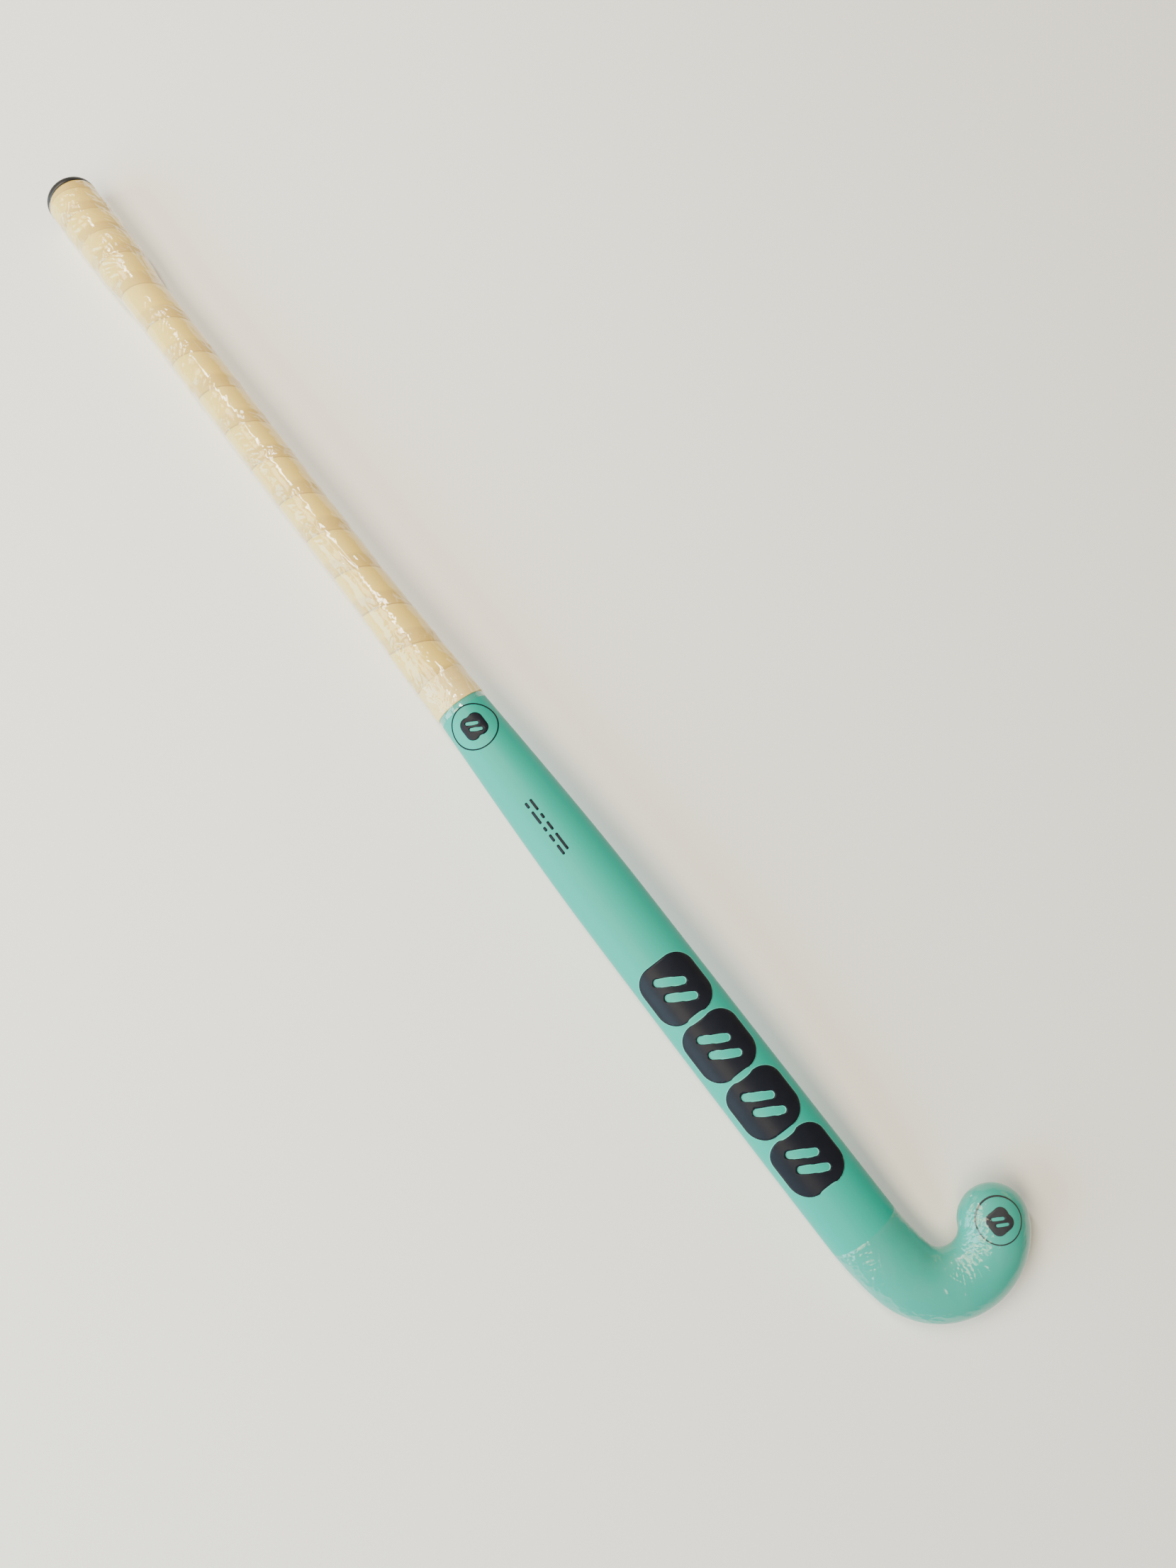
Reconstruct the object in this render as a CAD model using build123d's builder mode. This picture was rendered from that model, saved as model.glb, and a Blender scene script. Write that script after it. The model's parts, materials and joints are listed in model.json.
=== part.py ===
"""Field hockey stick: a hollow composite moulding with a wrapped handle.

Every size is in millimetres. The stick is modelled along X, butt at the start, with the flat playing
face underneath, the rounded back up and the toe towards +Y, and is laid on the floor at the end.
A distance along the stick is measured from the butt, on the line down the middle of the playing face.
"""
from build123d import *
import os
from math import atan2, cos, degrees, pi, radians, sin

os.makedirs("parts", exist_ok=True)

# ---- the stick as a whole ----
stick_length = 914.0          # butt to the lowest point of the head
head_flat = 105.0             # straight length of the playing face at the head
bow_radius = 1150.0           # curve of the shaft between the head and the handle
bow_turn = radians(9.7)       # angle between the handle and the head
rest_roll = 4.0               # degrees that the stick leans towards its heel on a flat floor

# ---- cross-sections of the moulding: width, depth and corner at the playing face ----
handle_width, handle_depth, handle_edge = 25.0, 22.5, 9.0
shaft_width, shaft_depth, shaft_edge = 42.8, 21.5, 6.5
head_width, head_depth, head_edge = 44.6, 22.5, 8.0
toe_width = 41.2              # the hook narrows to this
flare_start = 320.0           # the handle begins to widen
flare_end = 608.0             # the shaft has its full width
wall = 2.8                    # laminate
web = 1.8                     # wall between the two tubes

# ---- hook of the head: two arcs, a short straight and a round toe ----
heel_radius, heel_turn = 206.0, 10.3
hook_radius, hook_turn = 31.7, 142.2
toe_straight = 1.5

# ---- butt ----
cap_thickness = 6.0           # domed plate outside the tube
cap_round = 4.5
spigot_length = 18.0
spigot_clearance = 0.1
plug_length = 36.0            # foam behind the spigot
core_reach = 40.0             # head core, up the shaft past the start of the hook

# ---- handle layers ----
sleeve_layers = [(0.0, 2.7), (24.0, 2.6), (48.0, 2.2), (63.0, 1.6), (79.0, 0.4)]   # from the tube's end
grip_thickness = 1.6
grip_tail = 0.6               # thickness of the tape where it is trimmed
grip_end = 445.0
tail_length = 48.0            # stretch over which the tape thins
finish_width = 21.0           # straight band that closes the wrap
handle_film = 0.3             # several turns of film
head_film = 0.3
film_to_bottom = 81.0         # edge of the head film, above the lowest point of the head

# ---- printed transfers ----
transfer = 0.2
badge_line = 0.8              # ring
shaft_badge_size = 29.0
shaft_badge_below_grip = 18.0
toe_badge_size = 27.0
toe_badge_ahead = 3.2         # from the middle of the round toe, on towards its end
mark_length, mark_width, mark_gap = 157.0, 36.0, 2.5
mark_count = 4
mark_to_bottom = 118.0
slot_length, slot_width, slot_gap = 19.0, 4.6, 10.5
dash_height, dash_gap, dash_pitch = 1.7, 2.6, 3.6
dash_rows = [[8.0, 3.5, 6.0, 12.0], [4.0, 9.0, 3.0, 5.0, 7.0]]
dashes_below_grip = 74.0

tube_start = cap_thickness
bow_end = stick_length - head_flat
bow_start = bow_end - bow_radius * bow_turn

# The hook is laid out in the plane of the playing face: x down the stick, y towards the toe.
heel_rad = radians(heel_turn)
hook_rad = radians(heel_turn + hook_turn)
heel_end = Vector(heel_radius * sin(heel_rad), heel_radius * (1 - cos(heel_rad)))
hook_centre = heel_end + Vector(-hook_radius * sin(heel_rad), hook_radius * cos(heel_rad))
hook_end = hook_centre + Vector(hook_radius * sin(hook_rad), -hook_radius * cos(hook_rad))
toe_centre = hook_end + Vector(cos(hook_rad), sin(hook_rad)) * toe_straight
hook_start = stick_length - hook_centre.X - hook_radius - (head_width + toe_width) / 4


def face_plane(along):
    """Plane across the stick: origin on the playing face, x towards the toe, y towards the back."""
    bend = min(max(along - bow_start, 0) / bow_radius, bow_turn)
    beyond = max(along - bow_end, 0)
    x = min(along, bow_start) + bow_radius * sin(bend) + beyond * cos(bow_turn)
    z = -bow_radius * (1 - cos(bend)) - beyond * sin(bow_turn)
    return Plane(origin=(x, 0, z), x_dir=(0, 1, 0), z_dir=(cos(bend), 0, -sin(bend)))


def back_plane(along, height=0.0):
    """Plane level with the playing face: x down the stick, y towards the toe, z out of the back."""
    across = face_plane(along)
    return Plane(origin=across.origin + across.y_dir * height, x_dir=across.z_dir, z_dir=across.y_dir)


hook_face = back_plane(hook_start)


def hook_plane(point, heading):
    """Plane across the hook at a point of its middle line, where the line heads that way."""
    outward = hook_face.x_dir * cos(heading) + hook_face.y_dir * sin(heading)
    across = hook_face.y_dir * cos(heading) - hook_face.x_dir * sin(heading)
    return Plane(origin=hook_face.from_local_coords(point), x_dir=across, z_dir=outward)


def upright(point):
    return Axis(hook_face.from_local_coords(point), hook_face.z_dir)


hook_line = hook_face * CenterArc(hook_centre, hook_radius, heel_turn - 90, hook_turn)


def moulding_size(along):
    """Width, depth and corner of the moulding: an S-shaped flare, then a slight even widening."""
    t = min(max((along - flare_start) / (flare_end - flare_start), 0), 1)
    ease = t * t * (3 - 2 * t)
    u = min(max((along - flare_end) / (hook_start - flare_end), 0), 1)
    sizes = []
    for handle, shaft, head in (
        (handle_width, shaft_width, head_width),
        (handle_depth, shaft_depth, head_depth),
        (handle_edge, shaft_edge, head_edge),
    ):
        sizes.append(handle + (shaft - handle) * ease + (head - shaft) * u)
    return sizes


def d_section(plane, size, grow=0.0, half=False):
    """D-shaped profile: flat face, round corners and a half ellipse for the back."""
    width, depth, edge = size
    side = width / 2 + grow
    corner = edge + grow
    top = depth + grow
    with BuildSketch(plane) as profile:
        with BuildLine():
            if half:
                Line((0, top), (0, -grow))
                Line((0, -grow), (side - corner, -grow))
            else:
                CenterArc((corner - side, edge), corner, 180, 90)
                Line((corner - side, -grow), (side - corner, -grow))
            CenterArc((side - corner, edge), corner, 270, 90)
            EllipticalCenterArc((0, edge), side, top - edge, 0, arc_size=90 if half else 180)
        make_face()
    return profile.sketch


def sleeve_thickness(along):
    """Thickness of the butt sleeve, straight between the stations of its layers."""
    reach = along - tube_start
    for (low, thick), (high, thin) in zip(sleeve_layers, sleeve_layers[1:]):
        if low <= reach <= high:
            return thick + (thin - thick) * (reach - low) / (high - low)
    return 0.0


def grip_depth(along):
    """Thickness of the tape, which thins towards its trimmed end."""
    t = min(max((along - grip_end + tail_length) / tail_length, 0), 1)
    return grip_thickness + (grip_tail - grip_thickness) * t


sleeve_end = tube_start + sleeve_layers[-1][0]
sleeve_stations = [tube_start + reach for reach, thick in sleeve_layers]


def stations(start, end, step):
    """Even distances from start to end, about a step apart."""
    count = max(round((end - start) / step), 1)
    return [start + (end - start) * i / count for i in range(count + 1)]


def layer(start, end, outer):
    """Solid from the middle of the handle out to a thickness over the moulding, between two distances."""
    cuts = [start] + [s for s in sleeve_stations + [sleeve_end + 8.0] if start < s < end]
    cuts += [s for s in stations(flare_start, grip_end, 22.0) if cuts[-1] + 1 < s < end - 1] + [end]
    with BuildPart() as wrapped:
        loft([d_section(face_plane(s), moulding_size(s), outer(s)) for s in cuts], ruled=True)
    return wrapped.part


def sleeve_out(along):
    return sleeve_thickness(along)


def grip_out(along):
    return sleeve_thickness(along) + grip_depth(along)


def film_out(along):
    return grip_out(along) + handle_film


def shaft_body(start, grow):
    """Straight handle and bowed shaft, down to the start of the hook."""
    with BuildPart() as shaft:
        loft([d_section(face_plane(s), moulding_size(s), grow) for s in stations(start, hook_start, 32.0)])
    return shaft.part


def hook_body(grow, heel_from=0.0):
    """J-shaped head: the section carried round the heel and the narrowing hook, with a round toe."""
    size = (head_width, head_depth, head_edge)
    toe_size = (toe_width, head_depth, head_edge)
    first = Vector(heel_radius * sin(heel_from), heel_radius * (1 - cos(heel_from)))
    with BuildPart() as hook:
        revolve(
            d_section(hook_plane(first, heel_from), size, grow),
            axis=upright((0, heel_radius)),
            revolution_arc=heel_turn - degrees(heel_from),
        )
        sweep(
            [
                d_section(hook_plane(heel_end, heel_rad), size, grow),
                d_section(hook_plane(hook_end, hook_rad), toe_size, grow),
            ],
            path=hook_line,
            multisection=True,
        )
        extrude(d_section(hook_plane(hook_end, hook_rad), toe_size, grow), amount=toe_straight)
        revolve(
            d_section(hook_plane(toe_centre, hook_rad - pi), toe_size, grow, half=True),
            axis=upright(toe_centre),
            revolution_arc=180,
        )
    return hook.part


# ---- moulding and what is inside it ----
outside = shaft_body(tube_start, 0.0) + hook_body(0.0)
inside = shaft_body(tube_start, -wall) + hook_body(-wall)

with BuildPart() as laminate_shell:
    add(outside)
    add(inside, mode=Mode.SUBTRACT)

spigot_end = tube_start + spigot_length
plug_end = spigot_end + plug_length
core_start = hook_start - core_reach

with BuildPart() as butt_plug:
    extrude(
        d_section(face_plane(spigot_end), moulding_size(spigot_end), -wall),
        amount=plug_length,
    )

with BuildPart() as head_core:
    add(inside)
    split(bisect_by=face_plane(core_start), keep=Keep.TOP)

with BuildPart() as centre_web:
    add(inside)
    split(bisect_by=face_plane(plug_end), keep=Keep.TOP)
    split(bisect_by=face_plane(core_start), keep=Keep.BOTTOM)
    with Locations((stick_length / 2, 0, 0)):
        Box(2 * stick_length, web, stick_length, mode=Mode.INTERSECT)

# ---- butt ----
with BuildPart() as end_cap:
    extrude(d_section(face_plane(0), moulding_size(0), film_out(tube_start)), amount=cap_thickness)
    fillet(end_cap.faces().sort_by(Axis.X)[0].edges(), cap_round)
    extrude(
        d_section(face_plane(tube_start), moulding_size(0), -wall - spigot_clearance),
        amount=spigot_length,
    )

# ---- handle layers, from the inside out ----
with BuildPart() as butt_sleeve:
    add(layer(tube_start, sleeve_end, sleeve_out))
    add(outside, mode=Mode.SUBTRACT)

finish_start = grip_end - finish_width

with BuildPart() as grip_wrap:
    add(layer(tube_start, finish_start, grip_out))
    add(outside, mode=Mode.SUBTRACT)
    add(butt_sleeve.part, mode=Mode.SUBTRACT)

with BuildPart() as finishing_tape:
    add(layer(finish_start, grip_end, grip_out))
    add(outside, mode=Mode.SUBTRACT)

with BuildPart() as handle_wrap_film:
    add(layer(tube_start, grip_end, film_out))
    add(layer(tube_start, grip_end, grip_out), mode=Mode.SUBTRACT)

# ---- head film ----
film_from = (stick_length - film_to_bottom - hook_start) / heel_radius

with BuildPart() as head_wrap_film:
    add(hook_body(head_film, film_from))
    add(hook_body(0.0, film_from), mode=Mode.SUBTRACT)

# ---- printed transfers on the rounded back ----
with BuildPart() as shaft_print_layer:
    add(shaft_body(grip_end, transfer))
    add(outside, mode=Mode.SUBTRACT)


def rounded_block(length, width):
    """Block with round corners and two slanting slots, the motif of every mark."""
    scale = width / mark_width
    with BuildSketch(mode=Mode.PRIVATE) as block:
        RectangleRounded(length, width, 0.32 * width)
        with GridLocations(slot_gap * scale, 0, 2, 1):
            SlotOverall(slot_length * scale, slot_width * scale, rotation=60, mode=Mode.SUBTRACT)
    return block.sketch


def badge(size):
    """Thin ring round one rounded block."""
    with BuildSketch(mode=Mode.PRIVATE) as ring:
        Circle(size / 2)
        Circle(size / 2 - badge_line, mode=Mode.SUBTRACT)
        add(rounded_block(0.52 * size, 0.52 * size))
    return ring.sketch


def print_on_back(layer_part, plane, artwork, reach=30.0):
    """The part of a thin layer that lies behind the artwork, on the rounded back only."""
    with BuildPart() as printed:
        add(layer_part)
        extrude(plane * artwork, amount=reach, mode=Mode.INTERSECT)
    return printed.part


mark_middle = stick_length - mark_to_bottom - mark_length / 2
block_pitch = (mark_length + mark_gap) / mark_count
with BuildSketch(mode=Mode.PRIVATE) as mark_art:
    with GridLocations(block_pitch, 0, mark_count, 1):
        add(rounded_block(block_pitch - mark_gap, mark_width))

with BuildSketch(mode=Mode.PRIVATE) as dash_art:
    for row, lengths in enumerate(dash_rows):
        start = 0.0
        for length in lengths:
            with Locations((start + length / 2, -row * dash_pitch)):
                RectangleRounded(length, dash_height, 0.45 * dash_height)
            start += length + dash_gap

half_depth = shaft_depth / 2
large_mark = print_on_back(
    shaft_print_layer.part, back_plane(mark_middle, half_depth), mark_art.sketch
)
small_marks = print_on_back(
    shaft_print_layer.part, back_plane(grip_end + dashes_below_grip, half_depth), dash_art.sketch
)
shaft_badge = print_on_back(
    shaft_print_layer.part,
    back_plane(grip_end + shaft_badge_below_grip, half_depth),
    badge(shaft_badge_size),
)

with BuildPart() as toe_print_layer:
    add(hook_body(head_film + transfer, film_from))
    add(hook_body(head_film, film_from), mode=Mode.SUBTRACT)

toe_badge_at = toe_centre + Vector(cos(hook_rad), sin(hook_rad)) * toe_badge_ahead
toe_plane = Plane(
    origin=hook_face.from_local_coords(toe_badge_at) + hook_face.z_dir * half_depth,
    x_dir=hook_face.x_dir,
    z_dir=hook_face.z_dir,
)
toe_badge = print_on_back(toe_print_layer.part, toe_plane, badge(toe_badge_size))

# ---- lay the stick on the floor, resting on its butt and on the head ----
pieces = {
    "laminate_shell": laminate_shell.part,
    "centre_web": centre_web.part,
    "head_core": head_core.part,
    "butt_plug": butt_plug.part,
    "end_cap": end_cap.part,
    "butt_sleeve": butt_sleeve.part,
    "grip_wrap": grip_wrap.part,
    "finishing_tape": finishing_tape.part,
    "handle_wrap_film": handle_wrap_film.part,
    "head_wrap_film": head_wrap_film.part,
    "shaft_badge": shaft_badge,
    "small_marks": small_marks,
    "large_mark": large_mark,
    "toe_badge": toe_badge,
}
def low_point(solid):
    return solid.bounding_box().min.Z


tip = face_plane(stick_length).origin
lean = Rotation(rest_roll, 0, 0) * Rotation(0, degrees(atan2(tip.Z, tip.X)), 0)
# The round head first meets the floor away from its middle line, so the stick tips on until it does.
gap = low_point(lean * head_wrap_film.part) - low_point(lean * handle_wrap_film.part)
lean = Rotation(0, degrees(atan2(gap, tip.X)), 0) * lean

laid = [lean * piece for piece in pieces.values()]
box = Compound(children=[Compound(piece.wrapped) for piece in laid]).bounding_box()
to_origin = Pos(-box.center().X, -box.center().Y, -box.min.Z)

for name, piece in zip(pieces, laid):
    placed = to_origin * piece
    placed.label = name
    export_step(placed, f"parts/{name}.step")
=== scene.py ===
import json
import bpy
import bmesh
import numpy as np
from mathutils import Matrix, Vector
from mathutils.geometry import delaunay_2d_cdt


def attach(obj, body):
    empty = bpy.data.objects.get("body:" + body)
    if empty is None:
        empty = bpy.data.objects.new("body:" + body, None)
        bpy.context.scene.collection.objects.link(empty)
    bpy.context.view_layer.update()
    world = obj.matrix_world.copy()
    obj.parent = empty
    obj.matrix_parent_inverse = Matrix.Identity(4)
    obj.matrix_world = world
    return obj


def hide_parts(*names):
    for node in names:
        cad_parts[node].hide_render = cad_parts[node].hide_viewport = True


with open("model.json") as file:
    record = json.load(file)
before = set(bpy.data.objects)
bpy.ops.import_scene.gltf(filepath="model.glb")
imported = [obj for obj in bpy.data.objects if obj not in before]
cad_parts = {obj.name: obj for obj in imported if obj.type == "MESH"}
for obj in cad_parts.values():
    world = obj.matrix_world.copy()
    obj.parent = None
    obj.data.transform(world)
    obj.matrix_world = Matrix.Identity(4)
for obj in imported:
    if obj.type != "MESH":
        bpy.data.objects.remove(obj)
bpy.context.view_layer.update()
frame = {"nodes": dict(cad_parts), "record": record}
print("frame loaded")

# Sizes of the stick in millimetres, the same as the solid model's.
stick = dict(
    length=914.0,
    headFlat=105.0,                  # straight part of the head, up to the end of the hook
    bowRadius=1150.0,
    bowTurn=np.radians(9.7),
    roll=np.radians(4.0),            # how far the stick leans to its heel where it lies
    handle=(25.0, 22.5, 9.0),        # width, depth and corner radius, as in the next two
    shaft=(42.8, 21.5, 6.5),
    head=(44.6, 22.5, 8.0),
    toeWidth=41.2,
    flareStart=320.0,
    flareEnd=608.0,
    wall=2.8,
    tubeStart=6.0,
    heelRadius=206.0,
    heelTurn=np.radians(10.3),
    hookRadius=31.7,
    hookTurn=np.radians(142.2),
    toeStraight=1.5,
    mountSpot=(50.0, 20.0, 0.3),     # face mount: past the hook's start, across, and under the face
)
wrap = dict(
    tape=1.6,                        # thickness, down to tail over the last tailLength
    tail=0.6,
    tailLength=48.0,
    gripEnd=445.0,
    finishWidth=21.0,
    sleeveReach=(6.0, 30.0, 54.0, 69.0, 85.0),      # build-up under the tape at the butt
    sleeveThick=(2.7, 2.6, 2.2, 1.6, 0.4),
)

bowEnd = stick["length"] - stick["headFlat"]
bowStart = bowEnd - stick["bowRadius"] * stick["bowTurn"]
heelRun = stick["heelRadius"] * stick["heelTurn"]
hookRun = stick["hookRadius"] * stick["hookTurn"]
fullTurn = stick["heelTurn"] + stick["hookTurn"]
hookCentreX = (stick["heelRadius"] - stick["hookRadius"]) * np.sin(stick["heelTurn"])
hookStart = stick["length"] - hookCentreX - stick["hookRadius"] - (stick["head"][0] + stick["toeWidth"]) / 4
toeAt = hookStart + heelRun + hookRun + stick["toeStraight"]      # distance down the middle line


def triple(x, y, z):
    return np.stack(np.broadcast_arrays(x, y, z), axis=-1).astype(float)


def spine(u):
    # Middle line of the playing face: straight handle, circular bow, straight head, then two arcs of the
    # hook in the plane of the head. Gives the point and the directions down the line, across and out of the
    # back.
    u = np.asarray(u, float)
    s = np.minimum(u, hookStart)
    bend = np.clip((s - bowStart) / stick["bowRadius"], 0, stick["bowTurn"])
    beyond = np.clip(s - bowEnd, 0, None)
    x = np.minimum(s, bowStart) + stick["bowRadius"] * np.sin(bend) + beyond * np.cos(stick["bowTurn"])
    z = -stick["bowRadius"] * (1 - np.cos(bend)) - beyond * np.sin(stick["bowTurn"])
    down, up = triple(np.cos(bend), 0, -np.sin(bend)), triple(np.sin(bend), 0, np.cos(bend))
    side = triple(0 * u, 1, 0)
    past = np.clip(u - hookStart, 0, None)
    heel = np.clip(past, 0, heelRun) / stick["heelRadius"]
    hook = np.clip(past - heelRun, 0, hookRun) / stick["hookRadius"]
    rest = np.clip(past - heelRun - hookRun, 0, None)
    first = stick["heelTurn"]
    p = (stick["heelRadius"] * np.sin(heel) + stick["hookRadius"] * (np.sin(first + hook) - np.sin(first))
         + rest * np.cos(fullTurn))
    q = (stick["heelRadius"] * (1 - np.cos(heel))
         + stick["hookRadius"] * (np.cos(first) - np.cos(first + hook)) + rest * np.sin(fullTurn))
    turn = (heel + hook)[..., None]
    point = triple(x, 0, z) + down * p[..., None] + side * q[..., None]
    return point, down * np.cos(turn) + side * np.sin(turn), side * np.cos(turn) - down * np.sin(turn), up


def turnY(a):
    return np.array([[np.cos(a), 0, np.sin(a)], [0, 1, 0], [-np.sin(a), 0, np.cos(a)]])


def turnX(a):
    return np.array([[1, 0, 0], [0, np.cos(a), -np.sin(a)], [0, np.sin(a), np.cos(a)]])


def layDown():
    # How the stick lies: chord level, leaned to its heel, then tipped until the face mount has its stated
    # direction. The mount's point gives the shift.
    mount = next(m for m in frame["record"]["mounts"] if m["name"] == "playing_face")
    face = spine(np.array([bowEnd]))[0][0] + np.array(
        [np.cos(stick["bowTurn"]), 0, -np.sin(stick["bowTurn"])]) * stick["headFlat"]
    lean = turnX(stick["roll"]) @ turnY(np.arctan2(face[2], face[0]))
    out = lean @ np.array([-np.sin(stick["bowTurn"]), 0, -np.cos(stick["bowTurn"])])
    tipOn = np.arctan2(out[2], out[0]) - np.arctan2(mount["axis"][2], mount["axis"][0])
    turned = turnY(tipOn) @ lean
    base, down, side, up = (a[0] for a in spine(np.array([hookStart])))
    past, across, under = stick["mountSpot"]
    onFace = base + down * past + side * across - up * under
    return turned, np.array(mount["pos_m"]) * 1000.0 - turned @ onFace


lieTurn, lieShift = layDown()


def toFrame(points):
    return (points @ lieTurn.T + lieShift) * 0.001


def sizesAt(u):
    # Width, depth and corner of the moulding: an S-shaped flare, a slight even widening, a narrowing hook.
    t = np.clip((u - stick["flareStart"]) / (stick["flareEnd"] - stick["flareStart"]), 0, 1)
    ease = t * t * (3 - 2 * t)
    k = np.clip((u - stick["flareEnd"]) / (hookStart - stick["flareEnd"]), 0, 1)
    stations = zip(stick["handle"], stick["shaft"], stick["head"])
    sizes = [h + (s - h) * ease + (d - s) * k for h, s, d in stations]
    narrowing = np.clip((u - hookStart - heelRun) / hookRun, 0, 1)
    sizes[0] = sizes[0] + (stick["toeWidth"] - stick["head"][0]) * narrowing
    return sizes


def loopSteps(flat, corner, back):
    # Places round the section, 0 to 5: half the face, a corner, the back, a corner, half the face.
    counts = (flat, corner, back, corner, flat)
    return np.concatenate([i + np.arange(n) / n for i, n in enumerate(counts)])


def section(u, v, grow=0.0):
    # D-shaped loop: flat face, quarter-circle corners, half ellipse for the back, grown evenly outwards.
    width, depth, edge = (np.asarray(a) for a in sizesAt(u))
    side, corner, rise = width / 2 + grow, edge + grow, depth + grow - edge
    part, t = np.floor(v).astype(int), v - np.floor(v)
    degrees = np.select([part == 1, part == 2, part == 3], [270 + 90 * t, 180 * t, 180 + 90 * t], 0.0)
    turn = np.radians(degrees)
    lateral = np.select(
        [part == 0, part == 1, part == 2, part == 3],
        [(side - corner) * t, side - corner + corner * np.cos(turn), side * np.cos(turn),
         corner - side + corner * np.cos(turn)], (corner - side) * (1 - t))
    height = np.select(
        [(part == 1) | (part == 3), part == 2],
        [edge + corner * np.sin(turn), edge + rise * np.sin(turn)], -grow + 0 * lateral)
    return lateral, height


def sweep(u, v, grow=0.0):
    # The section carried down the middle line.
    point, down, side, up = spine(u)
    lateral, height = section(u, v, grow)
    return toFrame(point + side * lateral[..., None] + up * height[..., None])


def toeDome(turns, v, grow=0.0):
    # The round toe: half the section, turned about the upright line through the toe's centre.
    u = toeAt + 0 * turns + 0 * v
    point, down, side, up = spine(u)
    lateral, height = section(u, v, grow)
    out = side * np.cos(turns)[..., None] + down * np.sin(turns)[..., None]
    return toFrame(point + out * lateral[..., None] + up * height[..., None])


def gridFaces(shape, wrapRows=False, wrapLoop=True, flip=False, start=0):
    index = np.arange(shape[0] * shape[1]).reshape(shape) + start
    if wrapRows:
        index = np.concatenate([index, index[:1]], axis=0)
    if wrapLoop:
        index = np.concatenate([index, index[:, :1]], axis=1)
    corners = [index[:-1, :-1], index[:-1, 1:], index[1:, 1:], index[1:, :-1]]
    quads = np.stack(corners, axis=-1).reshape(-1, 4)
    return quads[:, ::-1] if flip else quads


def fanFaces(ring, centre, flip=False):
    around = np.stack([ring, np.roll(ring, -1), np.full(len(ring), centre)], axis=-1)
    return around[:, ::-1] if flip else around


def makePiece(name, points, faces, finish, stands=(), weld=1e-6, values=None):
    # Mesh object in metres from a list of point arrays and face arrays, smooth, on the stick's one body.
    mesh = bpy.data.meshes.new(name)
    verts = np.concatenate([p.reshape(-1, 3) for p in points])
    mesh.from_pydata(verts.tolist(), [], [f for block in faces for f in block.tolist()])
    for label, data in (values or {}).items():
        column = mesh.attributes.new(label, "FLOAT", "POINT")
        column.data.foreach_set("value", data.reshape(-1).astype(np.float32))
    shape = bmesh.new()
    shape.from_mesh(mesh)
    bmesh.ops.remove_doubles(shape, verts=shape.verts, dist=weld)
    bmesh.ops.dissolve_degenerate(shape, edges=shape.edges, dist=weld)
    shape.to_mesh(mesh)
    shape.free()
    mesh.polygons.foreach_set("use_smooth", np.ones(len(mesh.polygons), bool))
    piece = bpy.data.objects.new(name, mesh)
    bpy.context.scene.collection.objects.link(piece)
    mesh.materials.append(finish)
    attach(piece, "root")
    if stands:
        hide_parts(*stands)
    print(name, len(mesh.polygons), "faces")
    return piece


def smoothNoise(x, y, z, seed):
    # Value noise, 0 to 1: random numbers on a cubic lattice, blended smoothly between its corners.
    lattice = np.random.default_rng(seed).random((32, 32, 32))
    cell = [np.floor(a).astype(int) for a in (x, y, z)]
    part = [a - np.floor(a) for a in (x, y, z)]
    part = [t * t * (3 - 2 * t) for t in part]
    total = 0.0
    for corner in range(8):
        bits = [(corner >> k) & 1 for k in range(3)]
        share = 1.0
        for t, b in zip(part, bits):
            share = share * (t if b else 1 - t)
        total = total + share * lattice[tuple((c + b) % 32 for c, b in zip(cell, bits))]
    return total


def creases(a, lateral, height, slant, long, narrow, seed, sharp=5.0):
    # Thin ridges that run mainly down the stick, slanted sideways, where stretched noise crosses its
    # middle.
    along = a + slant * lateral
    across = lateral - slant * a
    n = smoothNoise(along / long, across / narrow, height / narrow, seed)
    return (1 - np.abs(2 * n - 1)) ** sharp


def patches(a, lateral, height, size, seed, low=0.45, high=0.7):
    # Soft islands, 0 to 1: noise cut between two levels and smoothed.
    n = smoothNoise(a / size, lateral / size, height / size, seed)
    t = np.clip((n - low) / (high - low), 0, 1)
    return t * t * (3 - 2 * t)


# One socket, with the operators that the finishes use.
class Wire:
    def __init__(self, finish, socket):
        self.finish, self.socket = finish, socket

    def maths(self, operation, first, second):
        return self.finish.node("Math", dict(operation=operation), {0: first, 1: second})

    def __add__(self, other):
        return self.maths("ADD", self, other)

    def __radd__(self, other):
        return self.maths("ADD", other, self)

    def __sub__(self, other):
        return self.maths("SUBTRACT", self, other)

    def __rsub__(self, other):
        return self.maths("SUBTRACT", other, self)

    def __mul__(self, other):
        return self.maths("MULTIPLY", self, other)

    def __rmul__(self, other):
        return self.maths("MULTIPLY", other, self)


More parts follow.
